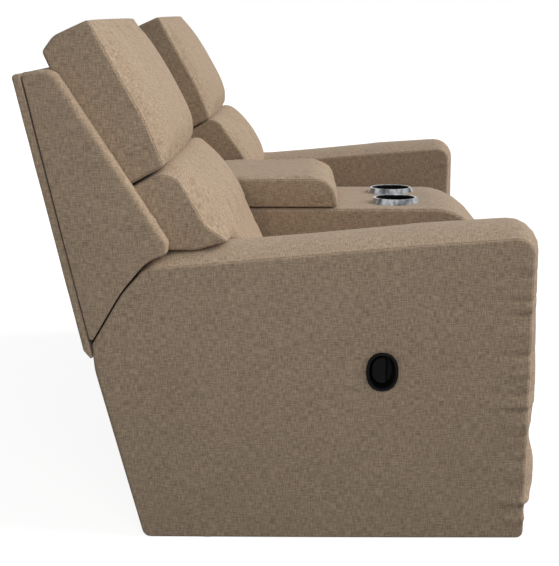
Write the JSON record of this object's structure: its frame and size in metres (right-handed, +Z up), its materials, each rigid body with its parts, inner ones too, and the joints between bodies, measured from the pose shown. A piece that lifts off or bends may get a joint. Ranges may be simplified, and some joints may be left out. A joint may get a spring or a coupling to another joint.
{
  "type": "reclining loveseat",
  "caption": "Reclining loveseat with slab arms, divided back cushions, fold-out footrests and a centre console with a lift-up lid and cup holders.",
  "frame": {"origin": "middle of the footprint on the floor, under the console", "axes": "+X to the sitter's left along the seats, front towards -Y, +Z up"},
  "size_m": [1.963, 1.032, 1.036],
  "materials": {
    "upholstery": "woven linen-look cloth",
    "wood": "plain plywood",
    "painted_steel": "black paint",
    "bright_steel": "zinc plated",
    "chrome": "polished",
    "black_plastic": "fine grain"
  },
  "bodies": {
    "base": {"console_cover": "upholstery", "console_frame": "wood", "console_bin": "black_plastic", "cup_wells": "black_plastic", "cup_rims": "chrome", "console_back_pad": "upholstery", "hinge_rod": "bright_steel", "seat_springs": "bright_steel", "pivot_pins": "bright_steel", "base_rails": "wood", "floor_glides": "black_plastic", "rear_aprons": "upholstery", "release_cables": "black_plastic", "left_arm_cover": "upholstery", "left_arm_frame": "wood", "left_handle_cup": "black_plastic", "left_seat_cushion": "upholstery", "left_seat_frame": "wood", "left_mechanism_plates": "painted_steel", "right_arm_cover": "upholstery", "right_arm_frame": "wood", "right_handle_cup": "black_plastic", "right_seat_cushion": "upholstery", "right_seat_frame": "wood", "right_mechanism_plates": "painted_steel"},
    "left_back": {"left_back_board": "wood", "left_hinge_brackets": "painted_steel", "left_outer_wing": "upholstery", "left_inner_wing": "upholstery", "left_outside_back": "upholstery", "left_headrest_cushion": "upholstery", "left_lumbar_cushion": "upholstery"},
    "left_drive": {"left_torque_tube": "painted_steel", "left_drive_links": "painted_steel", "left_knee_pins": "bright_steel"},
    "left_fold": {"left_fold_links": "painted_steel", "left_toe_pins": "bright_steel"},
    "left_footrest": {"left_footrest_brackets": "painted_steel", "left_footrest_board": "wood", "left_footrest_pad": "upholstery"},
    "left_lever": {"left_release_lever": "black_plastic"},
    "right_back": {"right_back_board": "wood", "right_hinge_brackets": "painted_steel", "right_outer_wing": "upholstery", "right_inner_wing": "upholstery", "right_outside_back": "upholstery", "right_headrest_cushion": "upholstery", "right_lumbar_cushion": "upholstery"},
    "right_drive": {"right_torque_tube": "painted_steel", "right_drive_links": "painted_steel", "right_knee_pins": "bright_steel"},
    "right_fold": {"right_fold_links": "painted_steel", "right_toe_pins": "bright_steel"},
    "right_footrest": {"right_footrest_brackets": "painted_steel", "right_footrest_board": "wood", "right_footrest_pad": "upholstery"},
    "right_lever": {"right_release_lever": "black_plastic"},
    "console_lid": {"lid_pad": "upholstery", "lid_board": "wood", "hinge_leaf": "painted_steel"}
  },
  "joints": [
    {"name": "left_back_recline", "type": "hinge", "parent": "base", "child": "left_back", "pos_m": [0.486, 0.195, 0.224], "axis": [-1, 0, 0], "range_deg": [0, 28]},
    {"name": "left_legrest_swing", "type": "hinge", "parent": "base", "child": "left_drive", "pos_m": [0.486, -0.26, 0.33], "axis": [-1, 0, 0], "range_deg": [0, 47]},
    {"name": "left_legrest_fold", "type": "hinge", "parent": "left_drive", "child": "left_fold", "pos_m": [0.486, -0.345, 0.10556], "axis": [-1, 0, 0], "range_deg": [-94, 0]},
    {"name": "left_footrest_tilt", "type": "hinge", "parent": "left_fold", "child": "left_footrest", "pos_m": [0.486, -0.43, 0.33], "axis": [-1, 0, 0], "range_deg": [0, 141]},
    {"name": "left_lever_pull", "type": "hinge", "parent": "base", "child": "left_lever", "pos_m": [0.9635, -0.184, 0.35], "axis": [0, 0, 1], "range_deg": [0, 25], "stiffness_Nm_per_rad": 0.4, "springref_deg": -5.73},
    {"name": "right_back_recline", "type": "hinge", "parent": "base", "child": "right_back", "pos_m": [-0.486, 0.195, 0.224], "axis": [-1, 0, 0], "range_deg": [0, 28]},
    {"name": "right_legrest_swing", "type": "hinge", "parent": "base", "child": "right_drive", "pos_m": [-0.486, -0.26, 0.33], "axis": [-1, 0, 0], "range_deg": [0, 47]},
    {"name": "right_legrest_fold", "type": "hinge", "parent": "right_drive", "child": "right_fold", "pos_m": [-0.486, -0.345, 0.10556], "axis": [-1, 0, 0], "range_deg": [-94, 0]},
    {"name": "right_footrest_tilt", "type": "hinge", "parent": "right_fold", "child": "right_footrest", "pos_m": [-0.486, -0.43, 0.33], "axis": [-1, 0, 0], "range_deg": [0, 141]},
    {"name": "right_lever_pull", "type": "hinge", "parent": "base", "child": "right_lever", "pos_m": [-0.9635, -0.184, 0.35], "axis": [0, 0, -1], "range_deg": [0, 25], "stiffness_Nm_per_rad": 0.4, "springref_deg": -5.73},
    {"name": "console_lid_lift", "type": "hinge", "parent": "base", "child": "console_lid", "pos_m": [0, 0.2244, 0.578], "axis": [-1, 0, 0], "range_deg": [0, 95]}
  ],
  "couplings": [
    {"joint": "left_legrest_fold", "follows": "left_legrest_swing", "ratio": -2},
    {"joint": "left_footrest_tilt", "follows": "left_legrest_swing", "ratio": 3},
    {"joint": "right_legrest_fold", "follows": "right_legrest_swing", "ratio": -2},
    {"joint": "right_footrest_tilt", "follows": "right_legrest_swing", "ratio": 3}
  ]
}
